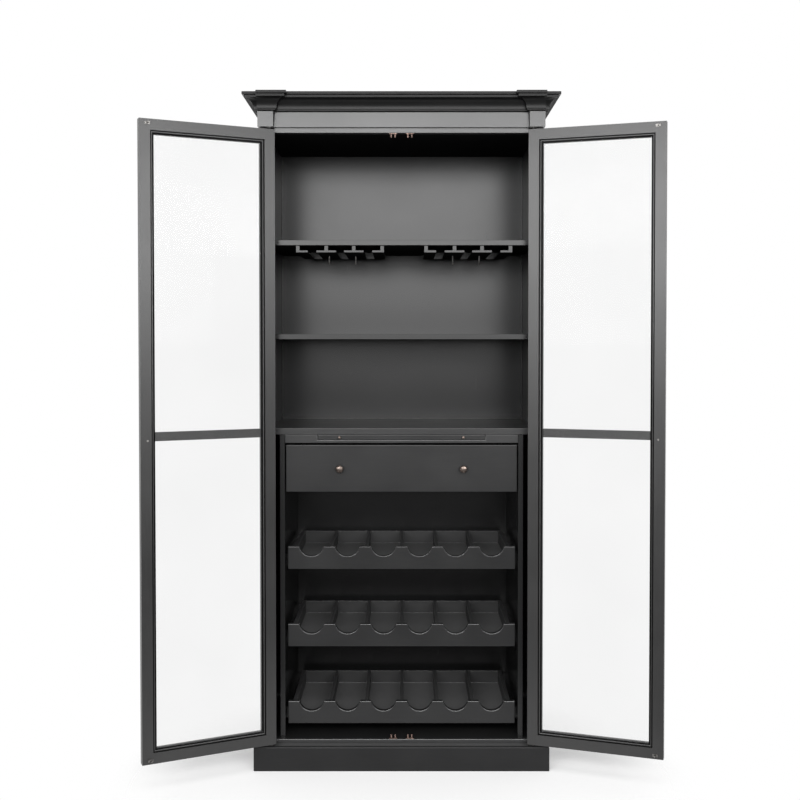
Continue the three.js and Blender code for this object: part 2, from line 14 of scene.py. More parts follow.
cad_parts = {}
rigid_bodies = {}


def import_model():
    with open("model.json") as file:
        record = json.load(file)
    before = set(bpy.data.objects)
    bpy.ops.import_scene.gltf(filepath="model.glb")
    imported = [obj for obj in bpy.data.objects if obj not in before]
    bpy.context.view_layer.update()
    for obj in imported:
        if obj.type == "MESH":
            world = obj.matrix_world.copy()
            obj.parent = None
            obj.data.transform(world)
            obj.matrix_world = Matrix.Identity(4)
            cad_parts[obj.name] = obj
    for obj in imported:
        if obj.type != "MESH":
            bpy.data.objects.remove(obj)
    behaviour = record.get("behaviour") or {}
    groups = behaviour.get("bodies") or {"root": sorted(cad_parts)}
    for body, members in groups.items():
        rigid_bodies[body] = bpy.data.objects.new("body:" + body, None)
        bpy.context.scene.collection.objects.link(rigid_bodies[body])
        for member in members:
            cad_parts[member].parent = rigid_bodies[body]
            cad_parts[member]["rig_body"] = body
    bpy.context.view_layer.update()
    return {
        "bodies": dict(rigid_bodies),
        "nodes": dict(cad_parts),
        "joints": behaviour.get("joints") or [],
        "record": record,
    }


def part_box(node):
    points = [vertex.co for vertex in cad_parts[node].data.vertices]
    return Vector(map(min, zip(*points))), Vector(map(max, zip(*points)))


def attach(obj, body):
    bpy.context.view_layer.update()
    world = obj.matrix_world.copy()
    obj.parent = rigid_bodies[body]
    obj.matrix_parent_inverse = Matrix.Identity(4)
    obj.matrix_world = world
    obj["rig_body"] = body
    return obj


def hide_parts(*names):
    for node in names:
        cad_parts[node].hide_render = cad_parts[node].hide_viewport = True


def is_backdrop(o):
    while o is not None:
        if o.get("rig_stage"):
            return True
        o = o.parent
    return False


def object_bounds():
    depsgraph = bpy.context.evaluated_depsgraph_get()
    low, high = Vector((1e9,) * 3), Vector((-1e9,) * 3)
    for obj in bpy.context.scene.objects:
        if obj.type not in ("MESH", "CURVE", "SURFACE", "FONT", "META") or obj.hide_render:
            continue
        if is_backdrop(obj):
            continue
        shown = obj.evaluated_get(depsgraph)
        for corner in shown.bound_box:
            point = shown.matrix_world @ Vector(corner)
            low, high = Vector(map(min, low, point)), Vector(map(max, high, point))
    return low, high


LOG = logging.getLogger("bar_armoire")

Colour = tuple[float, float, float]
Point = tuple[float, float, float]
Pair = tuple[float, float]
Tree = bpy.types.NodeTree
Node = bpy.types.Node
Socket = bpy.types.NodeSocket
Material = bpy.types.Material
Piece = bpy.types.Object
Face = bmesh.types.BMFace
Placing = Callable[[float, float], Point]


class Grain(Enum):
    """The way a board's grain runs, as the share by which each axis of the pattern is stretched."""

    UPRIGHT = (1.0, 1.0, 0.035)
    ACROSS = (0.035, 1.0, 1.0)
    DEEP = (1.0, 0.035, 1.0)


@dataclass(frozen=True)
class PaintFinish:
    """Satin paint sprayed over wood."""

    name: str
    slot: str
    colour: Colour
    worn: Colour
    roughness: float = 0.4
    spread: float = 0.1
    peel: float = 0.00012
    shine: float = 0.32


@dataclass(frozen=True)
class MetalFinish:
    """Plated metal that has darkened in its hollows."""

    slot: str
    colour: Colour
    tarnish: Colour
    roughness: float = 0.3
    spread: float = 0.14
    scratch: float = 0.00005


@dataclass(frozen=True)
class GlassFinish:
    """Clear sheet glass with a faint haze of dust."""

    slot: str
    colour: Colour
    clear: float = 0.03
    hazy: float = 0.05
    ior: float = 1.45


@dataclass
class Wiring:
    """Adds nodes to one shader tree and joins them up."""

    tree: Tree

    def fill(self, node: Node, inputs: dict[str | int, object]) -> None:
        """Joins sockets to a node's inputs, or sets the inputs' own values.

        Args:
            node: The node.
            inputs: A socket or a plain value for each input, by name or place.
        """
        for place, value in inputs.items():
            if isinstance(value, Socket):
                self.tree.links.new(value, node.inputs[place])
            else:
                node.inputs[place].default_value = value

    def add(self, kind: str, inputs: dict[str | int, object] | None = None) -> Node:
        """Adds a node.

        Args:
            kind: The node's type.
            inputs: What its inputs take, as for fill.

        Returns:
            The node.
        """
        node = self.tree.nodes.new(kind)
        self.fill(node, inputs or {})
        return node

    def math(self, operation: str, *values: object) -> Socket:
        """Adds a maths node.

        Args:
            operation: The node's operation.
            *values: Sockets or numbers.

        Returns:
            The socket with the result.
        """
        node = self.add("ShaderNodeMath", dict(enumerate(values)))
        node.operation = operation
        return node.outputs[0]

    def spread(self, value: Socket, span: Pair, ends: Pair = (0.0, 1.0), soft: bool = False) -> Socket:
        """Turns one range of values into another.

        Args:
            value: The socket to read.
            span: The values at which the change starts and stops.
            ends: The results there.
            soft: Whether the change starts and stops gently.

        Returns:
            The socket with the result.
        """
        limits = {"From Min": span[0], "From Max": span[1], "To Min": ends[0], "To Max": ends[1]}
        node = self.add("ShaderNodeMapRange", {"Value": value, **limits})
        if soft:
            node.interpolation_type = "SMOOTHSTEP"
        return node.outputs[0]

    def noise(self, place: Socket, scale: float, detail: float) -> Socket:
        """Adds a noise.

        Args:
            place: The socket that gives the place on the surface.
            scale: The number of blotches in a metre.
            detail: The number of finer layers.

        Returns:
            The socket with the noise.
        """
        node = self.add("ShaderNodeTexNoise", {"Vector": place, "Scale": scale, "Detail": detail})
        return node.outputs["Fac"]

    def mix(self, mask: Socket, first: Socket, second: Socket) -> Socket:
        """Mixes two colours.

        Args:
            mask: The socket that chooses between them.
            first: The colour at 0.
            second: The colour at 1.

        Returns:
            The socket with the mixed colour.
        """
        node = self.add("ShaderNodeMix")
        node.data_type = "RGBA"
        self.fill(node, {0: mask, 6: first, 7: second})
        return node.outputs[2]


class EffectGroups:
    """The shader node groups that several finishes share."""

    kinds: ClassVar[dict[type, str]] = {
        type(None): "NodeSocketVector",
        tuple: "NodeSocketColor",
        float: "NodeSocketFloat",
    }
    blotch_scale: ClassVar[float] = 6.0
    grain_scale: ClassVar[float] = 520.0
    peel_scale: ClassVar[float] = 420.0
    patch_scale: ClassVar[float] = 160.0
    scratch_scale: ClassVar[float] = 2400.0
    drift_scale: ClassVar[float] = 3.0

    def __init__(self) -> None:
        """Builds the three groups once."""
        self.paint = self._paint()
        self.plating = self._plating()
        self.haze = self._haze()

    def _new(
        self, name: str, inputs: dict[str, object], outputs: dict[str, type]
    ) -> tuple[Wiring, Node, Node]:
        """Makes an empty group with named sockets.

        Args:
            name: The group's name.
            inputs: Each input's default: a colour, a number, or None for a place.
            outputs: Each output's type, tuple for a colour and float for a value.

        Returns:
            The group's wiring, its input node and its output node.
        """
        tree = bpy.data.node_groups.new(name, "ShaderNodeTree")
        for label, value in inputs.items():
            kind = self.kinds[type(value)]
            socket = tree.interface.new_socket(name=label, in_out="INPUT", socket_type=kind)
            if value is not None:
                socket.default_value = value
        for label, kind in outputs.items():
            tree.interface.new_socket(name=label, in_out="OUTPUT", socket_type=self.kinds[kind])
        wires = Wiring(tree)
        return wires, wires.add("NodeGroupInput"), wires.add("NodeGroupOutput")

    def _paint(self) -> Tree:
        """Builds the sprayed paint: soft blotches, grain that shows through, and a fine orange peel."""
        inputs = {
            "Place": None,
            "Grain Place": None,
            "Paint": (0.02, 0.02, 0.02, 1.0),
            "Worn": (0.04, 0.04, 0.04, 1.0),
            "Gloss": 0.4,
            "Spread": 0.1,
        }
        outputs = {"Color": tuple, "Roughness": float, "Height": float}
        wires, group, target = self._new("sprayed_paint", inputs, outputs)
        source = group.outputs
        blotch = wires.spread(wires.noise(source["Place"], self.blotch_scale, 4.0), (0.35, 0.7))
        grain = wires.spread(wires.noise(source["Grain Place"], self.grain_scale, 5.0), (0.3, 0.75))
        peel = wires.noise(source["Place"], self.peel_scale, 2.0)
        mask = wires.math("MULTIPLY", blotch, 0.45)
        worn = wires.math("ADD", mask, wires.math("MULTIPLY", grain, 0.35))
        swing = wires.math("MULTIPLY", wires.math("SUBTRACT", worn, 0.4), source["Spread"])
        results = {
            "Color": wires.mix(worn, source["Paint"], source["Worn"]),
            "Roughness": wires.math("ADD", source["Gloss"], swing),
            "Height": wires.math("ADD", peel, wires.math("MULTIPLY", grain, 0.5)),
        }
        wires.fill(target, results)
        return wires.tree

    def _plating(self) -> Tree:
        """Builds the darkened plating: patches of tarnish and fine scratches."""
        inputs = {
            "Place": None,
            "Metal": (0.5, 0.5, 0.5, 1.0),
            "Tarnish": (0.1, 0.1, 0.1, 1.0),
            "Gloss": 0.3,
            "Spread": 0.1,
        }
        outputs = {"Color": tuple, "Roughness": float, "Height": float}
        wires, group, target = self._new("aged_plating", inputs, outputs)
        source = group.outputs
        patch = wires.spread(wires.noise(source["Place"], self.patch_scale, 5.0), (0.38, 0.66))
        swing = wires.math("MULTIPLY", patch, source["Spread"])
        results = {
            "Color": wires.mix(patch, source["Metal"], source["Tarnish"]),
            "Roughness": wires.math("ADD", source["Gloss"], swing),
            "Height": wires.noise(source["Place"], self.scratch_scale, 3.0),
        }
        wires.fill(target, results)
        return wires.tree

    def _haze(self) -> Tree:
        """Builds the dust on glass: a mask that drifts softly over the pane."""
        inputs = {"Place": None, "Clear": 0.03, "Hazy": 0.06}
        wires, group, target = self._new("pane_haze", inputs, {"Cover": float, "Roughness": float})
        source = group.outputs
        drift = wires.spread(wires.noise(source["Place"], self.drift_scale, 5.0), (0.3, 0.7))
        extra = wires.math("SUBTRACT", source["Hazy"], source["Clear"])
        cover = wires.math("ADD", source["Clear"], wires.math("MULTIPLY", extra, drift))
        wires.fill(target, {"Cover": cover, "Roughness": wires.math("MULTIPLY", cover, 0.8)})
        return wires.tree


class Finishes:
    """Makes each finish's materials from the shared groups and keeps them by name."""

    def __init__(self, groups: EffectGroups) -> None:
        """Keeps the groups.

        Args:
            groups: The shared node groups.
        """
        self.groups = groups
        self.made: dict[str, Material] = {}

    def _start(self, name: str, group: Tree, inputs: dict[str, object]) -> tuple[Wiring, Node, Node]:
        """Makes a material whose shader takes its roughness from a shared group.

        Args:
            name: The material's name.
            group: The node group that it uses.
            inputs: The values of the group's inputs.

        Returns:
            The material's wiring, its shader and the group's node.
        """
        material = bpy.data.materials.new(name)
        material.use_nodes = True
        self.made[name] = material
        wires = Wiring(material.node_tree)
        effect = wires.add("ShaderNodeGroup")
        effect.node_tree = group
        place = wires.add("ShaderNodeTexCoord").outputs["Object"]
        wires.fill(effect, {"Place": place, **inputs})
        shader = wires.tree.nodes["Principled BSDF"]
        wires.fill(shader, {"Roughness": effect.outputs["Roughness"]})
        return wires, shader, effect

    @staticmethod
    def _coat(wires: Wiring, shader: Node, effect: Node, depth: float) -> None:
        """Gives the shader the group's colour and relief.

        Args:
            wires: The material's wiring.
            shader: The shader.
            effect: The group's node.
            depth: The height of the relief, in metres.
        """
        bump = wires.add("ShaderNodeBump", {"Distance": depth, "Height": effect.outputs["Height"]})
        wires.fill(shader, {"Base Color": effect.outputs["Color"], "Normal": bump.outputs["Normal"]})

    def paint(self, finish: PaintFinish, grain: Grain) -> Material:
        """Gives the paint for boards whose grain runs one way.

        Args:
            finish: The paint.
            grain: The way the grain runs.

        Returns:
            The material.
        """
        name = f"{finish.name}_{grain.name.lower()}"
        if name not in self.made:
            inputs = {
                "Paint": (*finish.colour, 1.0),
                "Worn": (*finish.worn, 1.0),
                "Gloss": finish.roughness,
                "Spread": finish.spread,
            }
            wires, shader, effect = self._start(name, self.groups.paint, inputs)
            place = wires.add("ShaderNodeTexCoord").outputs["Object"]
            stretch = wires.add("ShaderNodeMapping", {"Vector": place, "Scale": grain.value})
            wires.fill(effect, {"Grain Place": stretch.outputs[0]})
            wires.fill(shader, {"Specular IOR Level": finish.shine})
            self._coat(wires, shader, effect, finish.peel)
        return self.made[name]

    def metal(self, name: str, finish: MetalFinish) -> Material:
        """Gives a plated metal.

        Args:
            name: The material's name.
            finish: The plating.

        Returns:
            The material.
        """
        if name not in self.made:
            inputs = {
                "Metal": (*finish.colour, 1.0),
                "Tarnish": (*finish.tarnish, 1.0),
                "Gloss": finish.roughness,
                "Spread": finish.spread,
            }
            wires, shader, effect = self._start(name, self.groups.plating, inputs)
            wires.fill(shader, {"Metallic": 1.0})
            self._coat(wires, shader, effect, finish.scratch)
        return self.made[name]

    def glass(self, finish: GlassFinish) -> Material:
        """Gives the clear glass, whose outer face shows more at a glancing angle.

        Args:
            finish: The glass.

        Returns:
            The material.
        """
        if finish.slot not in self.made:
            inputs = {"Clear": finish.clear, "Hazy": finish.hazy}
            wires, shader, effect = self._start(finish.slot, self.groups.haze, inputs)
            glance = wires.add("ShaderNodeFresnel", {"IOR": finish.ior}).outputs[0]
            behind = wires.add("ShaderNodeNewGeometry").outputs["Backfacing"]
            front = wires.math("SUBTRACT", 1.0, behind)
            cover = wires.math("MULTIPLY_ADD", glance, front, effect.outputs["Cover"])
            cover.node.use_clamp = True
            wires.fill(shader, {"Base Color": (*finish.colour, 1.0), "IOR": finish.ior, "Alpha": cover})
        return self.made[finish.slot]


@dataclass
class Workshop:
    """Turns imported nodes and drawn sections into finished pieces."""

    narrow: ClassVar[float] = 0.0015
    slim: ClassVar[float] = 0.0008
    broad: ClassVar[float] = 0.006
    level: ClassVar[float] = 0.9
    raised: ClassVar[Pair] = (0.3, 0.98)
    weld: ClassVar[float] = 0.00001
    flat: ClassVar[float] = math.radians(1.0)
    corner: ClassVar[float] = math.radians(40.0)
    crease: ClassVar[float] = math.radians(20.0)

    frame: dict
    made: list[str] = field(default_factory=list)

    def finish_piece(
        self, piece: Piece, body: str, slot: str, material: Material, nodes: tuple[str, ...]
    ) -> Piece:
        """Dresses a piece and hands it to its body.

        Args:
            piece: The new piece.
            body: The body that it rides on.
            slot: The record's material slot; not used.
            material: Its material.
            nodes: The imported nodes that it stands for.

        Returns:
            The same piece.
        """
        piece.data.materials.clear()
        piece.data.materials.append(material)
        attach(piece, body)
        if nodes:
            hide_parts(*nodes)
        self.made.append(piece.name)
        LOG.info("%s is ready", piece.name)
        return piece

    @staticmethod
    def paint_where(piece: Piece, material: Material, chosen: Callable[[Face], bool]) -> None:
        """Gives the chosen faces of a piece a finish of their own.

        Args:
            piece: The finished piece.
            material: The material for those faces.
            chosen: Tells whether a face takes it.
        """
        piece.data.materials.append(material)
        shape = bmesh.new()
        shape.from_mesh(piece.data)
        for face in shape.faces:
            if chosen(face):
                face.material_index = len(piece.data.materials) - 1
        shape.to_mesh(piece.data)
        shape.free()

    def paint_level(self, piece: Piece, material: Material, way: int) -> None:
        """Gives the broad level faces that look up, or those that look down, a finish of their own:
        painted light on those that look up, painted shade on those that look down.

        Args:
            piece: The finished piece.
            material: The material for those faces.
            way: 1 for faces that look up and -1 for faces that look down.
        """

        def is_level(face: Face) -> bool:
            broad = face.calc_area() > self.broad * face.calc_perimeter()
            return broad and face.normal.z * way > self.level

        self.paint_where(piece, material, is_level)

    def paint_edge_highlights(self, piece: Piece, material: Material) -> None:
        """Gives the eased edges that look up a lighter finish of their own: a painted highlight where
        light catches the edge.

        Args:
            piece: The finished piece.
            material: The material for those edges.
        """

        def is_edge(face: Face) -> bool:
            slim = face.calc_area() < self.slim * face.calc_perimeter()
            return slim and self.raised[0] < face.normal.z < self.raised[1]

        self.paint_where(piece, material, is_edge)

    def body_of(self, node: str) -> str:
        """Gives the name of the body that holds a node.

        Args:
            node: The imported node.

        Returns:
            The body's name.
        """
        return self.frame["nodes"][node]["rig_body"]

    @staticmethod
    def lay(name: str, shape: bmesh.types.BMesh) -> Piece:
        """Turns a worked shape into an object in the scene.

        Args:
            name: The object's name.
            shape: The shape, which is used up.

        Returns:
            The new object.
        """
        mesh = bpy.data.meshes.new(name)
        shape.to_mesh(mesh)
        shape.free()
        piece = bpy.data.objects.new(name, mesh)
        bpy.context.scene.collection.objects.link(piece)
        return piece

    @staticmethod
    def smooth(piece: Piece, sharpest: float) -> None:
        """Smooths a piece's curves and keeps its corners sharp.

        Args:
            piece: The piece.
            sharpest: The smallest angle that stays a corner, in degrees.
        """
        piece.data.shade_smooth()
        piece.data.set_sharp_from_angle(angle=math.radians(sharpest))

    def soften(self, node: str, slot: str, material: Material, width: float) -> Piece:
        """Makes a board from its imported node, with its edges eased as sandpaper leaves them.

        Args:
            node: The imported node.
            slot: The record's material slot.
            material: The board's material.
            width: The width of the eased edge, in metres.

        Returns:
            The finished piece.
        """
        shape = bmesh.new()
        shape.from_mesh(self.frame["nodes"][node].data)
        bmesh.ops.remove_doubles(shape, verts=shape.verts, dist=self.weld)
        bmesh.ops.dissolve_limit(shape, angle_limit=self.flat, verts=shape.verts, edges=shape.edges)
        piece = self.lay(f"{node}_eased", shape)
        bevel = piece.modifiers.new("eased_edges", "BEVEL")
        bevel.width = width
        bevel.segments = 2
        bevel.limit_method = "ANGLE"
        bevel.angle_limit = self.corner
        bevel.use_clamp_overlap = True
        self.settle(piece)
        return self.finish_piece(piece, self.body_of(node), slot, material, (node,))

    @staticmethod
    def settle(piece: Piece) -> None:
        """Applies a piece's modifiers, smooths its eased edges and keeps its wide faces flat.

        Args:
            piece: The piece.
        """
        piece.data.shade_smooth()
        bpy.context.view_layer.update()
        graph = bpy.context.evaluated_depsgraph_get()
        settled = bpy.data.meshes.new_from_object(piece.evaluated_get(graph))
        old = piece.data
        piece.modifiers.clear()
        settled.set_sharp_from_angle(angle=Workshop.crease)
        shape = bmesh.new()
        shape.from_mesh(settled)
        for face in shape.faces:
            face.smooth = face.calc_area() < Workshop.narrow * face.calc_perimeter()
        shape.to_mesh(settled)
        shape.free()
        piece.data = settled
        bpy.data.meshes.remove(old)

    def from_rings(self, name: str, rings: list[list[Point]], looped: bool = False) -> Piece:
        """Makes a mesh by joining rings of points, one after the other.

        Args:
            name: The piece's name.
            rings: Rings with the same number of points.
            looped: Whether the last ring joins the first; if not, both are filled.

        Returns:
            The new object.
        """
        shape = bmesh.new()
        laid = [[shape.verts.new(point) for point in ring] for ring in rings]
        for before, after in zip(laid, [*laid[1:], laid[0]] if looped else laid[1:]):
            for i, vert in enumerate(before):
                j = (i + 1) % len(before)
                shape.faces.new((vert, before[j], after[j], after[i]))
        if not looped:
            shape.faces.new(laid[0])
            shape.faces.new(laid[-1])
        bmesh.ops.recalc_face_normals(shape, faces=shape.faces)
        return self.lay(name, shape)


@dataclass
class Boards:
    """The plain boards of the case and its fittings, with their eased edges."""

    shop: Workshop
    finishes: Finishes
    eased: float = 0.0012
    fine: float = 0.0007
    rubbed: float = 0.0018

    def make(
        self,
        finish: PaintFinish,
        grain: Grain,
        nodes: tuple[str, ...],
        width: float,
        below: PaintFinish | None = None,
        above: PaintFinish | None = None,
        edge: PaintFinish | None = None,
    ) -> None:
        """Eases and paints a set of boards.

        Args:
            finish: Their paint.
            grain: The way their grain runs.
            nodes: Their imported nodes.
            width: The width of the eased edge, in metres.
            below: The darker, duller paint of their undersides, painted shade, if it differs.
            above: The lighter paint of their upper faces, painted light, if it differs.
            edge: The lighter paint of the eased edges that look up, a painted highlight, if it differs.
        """
        material = self.finishes.paint(finish, grain)
        for node in nodes:
            board = self.shop.soften(node, finish.slot, material, width)
            if below:
                self.shop.paint_level(board, self.finishes.paint(below, grain), -1)
            if above:
                self.shop.paint_level(board, self.finishes.paint(above, grain), 1)
            if edge:
                self.shop.paint_edge_highlights(board, self.finishes.paint(edge, grain))


@dataclass
class Cornice:
    """The moulded runs at the top of the case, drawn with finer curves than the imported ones."""

    shop: Workshop
    finishes: Finishes
    frieze_front: float = -0.233
    frieze_half: float = 0.434
    post_inner: float = 0.387
    rear: float = 0.225
    breakout: float = 0.018
    block_front: float = -0.251
    block_bottom: float = 1.958
    bottom: float = 2.004
    top: float = 2.049
    bead: float = 0.0085
    bead_top: float = 2.0092
    step: float = 0.011
    cove_bottom: float = 2.0118
    cove_foot: float = 0.012
    cove_head: float = 0.036
    cove_top: float = 2.041
    reach: float = 0.038
    foot: float = 0.003
    ease: float = 0.0006
    top_ease: float = 0.0007
    gap: float = 0.0003
    bead_steps: int = 6
    steps: int = 20
    sharpest: float = 32.0

    def section(self) -> list[Pair]:
        """Gives the moulding's outline as projection and height.

        Returns:
            Points from the foot to the top.
        """
        half_bead = (self.bead_top - self.bottom) / 2
        ease, top_ease = self.ease, self.top_ease
        points = [(0.0, self.bottom), (self.foot, self.bottom)]
        for i in range(1, self.bead_steps + 1):
            angle = math.pi / 2 * i / self.bead_steps
            out = self.foot + (self.bead - self.foot) * math.sin(angle)
            points.append((out, self.bottom + half_bead * (i / self.bead_steps)))
        points += [(self.bead, self.bead_top - ease), (self.bead - ease, self.bead_top)]
        points += [(self.step - ease, self.bead_top), (self.step, self.bead_top + ease)]
        points.append((self.step, self.cove_bottom))
        for i in range(self.steps + 1):
            angle = math.pi / 2 * i / self.steps
            out = self.cove_foot + (self.cove_head - self.cove_foot) * (1 - math.cos(angle))
            rise = (self.cove_top - self.cove_bottom) * math.sin(angle)
            points.append((out, self.cove_bottom + rise))
        points += [(self.reach - top_ease, self.cove_top), (self.reach, self.cove_top + top_ease)]
        points += [(self.reach, self.top - top_ease), (self.reach - top_ease, self.top)]
        points.append((0.0, self.top))
        return points

    def run(
        self, name: str, start: Placing, end: Placing, nodes: tuple[str, ...], finish: PaintFinish
    ) -> None:
        """Makes one straight run between two ends.

        Args:
            name: The piece's name.
            start: Places an outline point at the first end.
            end: Places an outline point at the last end.
            nodes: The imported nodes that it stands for.
            finish: Its paint.
        """
        outline = self.section()
        rings = [[start(p, z) for p, z in outline], [end(p, z) for p, z in outline]]
        piece = self.shop.from_rings(name, rings)
        self.shop.smooth(piece, self.sharpest)
        grain = Grain.ACROSS if "front" in name else Grain.DEEP
        self.shop.finish_piece(piece, "carcass", finish.slot, self.finishes.paint(finish, grain), nodes)

    def make(self, finish: PaintFinish, side_finish: PaintFinish, plain: PaintFinish) -> None:
        """Makes the three runs and the two blocks.

        Args:
            finish: The front mouldings' paint.
            side_finish: The side mouldings' paint, which is duller.
            plain: The paint of the blocks' plain faces.
        """
        half, front, gap, rear = self.frieze_half, self.frieze_front, self.gap, self.rear
        self.run(
            "crown_front_moulding",
            lambda p, z: (-(half + p - gap), front - p, z),
            lambda p, z: (half + p - gap, front - p, z),
            ("crown_front",),
            finish,
        )
        for word, side in (("left", -1), ("right", 1)):
            self.run(
                f"crown_{word}_moulding",
                lambda p, z, s=side: (s * (half + p), front - p + gap, z),
                lambda p, z, s=side: (s * (half + p), rear, z),
                (f"crown_{word}",),
                side_finish,
            )
            self.block(word, side, finish, plain)

    def block(self, word: str, side: int, finish: PaintFinish, plain: PaintFinish) -> None:
        """Makes the moulded block over one corner post.

        Args:
            word: The side's name.
            side: -1 on the left and 1 on the right.
            finish: The paint of its mouldings.
            plain: The paint of its plain faces, below the mouldings.
        """
        outline = self.section()[1:-1]
        low, inner, outer = self.block_bottom, self.post_inner, self.frieze_half
        back = [(p + self.gap, z, p) for p, z in reversed(outline)]
        front = [(p + self.breakout, z, p) for p, z in outline]
        foot = [(0.0, self.bottom, 0.0), (0.0, low, 0.0), (self.breakout, low, 0.0)]
        ring = [*foot, (self.breakout, self.bottom, 0.0), *front, *back]
        start = [(side * (inner - p), self.frieze_front - d, z) for d, z, p in ring]
        end = [(side * outer, self.frieze_front - d, z) for d, z, _ in ring]
        piece = self.shop.from_rings(f"pilaster_cap_{word}_moulding", [start, end])
        self.shop.smooth(piece, self.sharpest)
        material = self.finishes.paint(finish, Grain.UPRIGHT)
        self.shop.finish_piece(piece, "carcass", finish.slot, material, (f"pilaster_cap_{word}",))

        def is_plain(face: Face) -> bool:
            return max(vert.co.z for vert in face.verts) < self.bottom + self.gap

        self.shop.paint_where(piece, self.finishes.paint(plain, Grain.UPRIGHT), is_plain)


@dataclass
class Knobs:
    """Turned knobs with a ringed foot, a slim neck and a domed head."""

    shop: Workshop
    finishes: Finishes
    sides: int = 48
    sharpest: float = 50.0
    shares: tuple[Pair, ...] = (
        (0.0, 0.0), (0.5, 0.0), (0.54, 0.02), (0.55, 0.06), (0.53, 0.1), (0.46, 0.13), (0.4, 0.2),
        (0.37, 0.3), (0.37, 0.42), (0.44, 0.49), (0.62, 0.55), (0.82, 0.6), (0.94, 0.66), (0.99, 0.72),
        (1.0, 0.77), (0.97, 0.84), (0.88, 0.9), (0.72, 0.95), (0.45, 0.985), (0.2, 0.997), (0.0, 1.0),
    )

    def turn(self, name: str, shares: tuple[Pair, ...], radius: float, length: float) -> Piece:
        """Turns a profile about the Y axis, standing out towards the front.

        Args:
            name: The piece's name.
            shares: Radius and length as shares, from foot to top.
            radius: The largest radius, in metres.
            length: The whole length, in metres.

        Returns:
            The new object, with its foot at the origin.
        """
        shape = bmesh.new()
        rings = []
        for share, along in shares:
            if share == 0.0:
                rings.append([shape.verts.new((0.0, -along * length, 0.0))])
                continue
            ring = []
            out = share * radius
            for i in range(self.sides):
                angle = 2 * math.pi * i / self.sides
                spot = (out * math.cos(angle), -along * length, out * math.sin(angle))
                ring.append(shape.verts.new(spot))
            rings.append(ring)
        for before, after in zip(rings, rings[1:]):
            for i in range(self.sides):
                j = (i + 1) % self.sides
                corners = [before[i % len(before)], before[j % len(before)]]
                corners += [after[j % len(after)], after[i % len(after)]]
                shape.faces.new(list(dict.fromkeys(corners)))
        bmesh.ops.recalc_face_normals(shape, faces=shape.faces)
        piece = self.shop.lay(name, shape)
        self.shop.smooth(piece, self.sharpest)
        return piece

    def on_front(self, node: str, finish: MetalFinish) -> None:
        """Makes a drawer or tray knob in its node's place.

        Args:
            node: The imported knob.
            finish: Its plating.
        """
        low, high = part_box(node)
        piece = self.turn(f"{node}_turned", self.shares, (high.x - low.x) / 2, high.y - low.y)
        piece.data.transform(Matrix.Translation(((low.x + high.x) / 2, high.y, (low.z + high.z) / 2)))
        material = self.finishes.metal("pewter_plating", finish)
        self.shop.finish_piece(piece, self.shop.body_of(node), finish.slot, material, (node,))


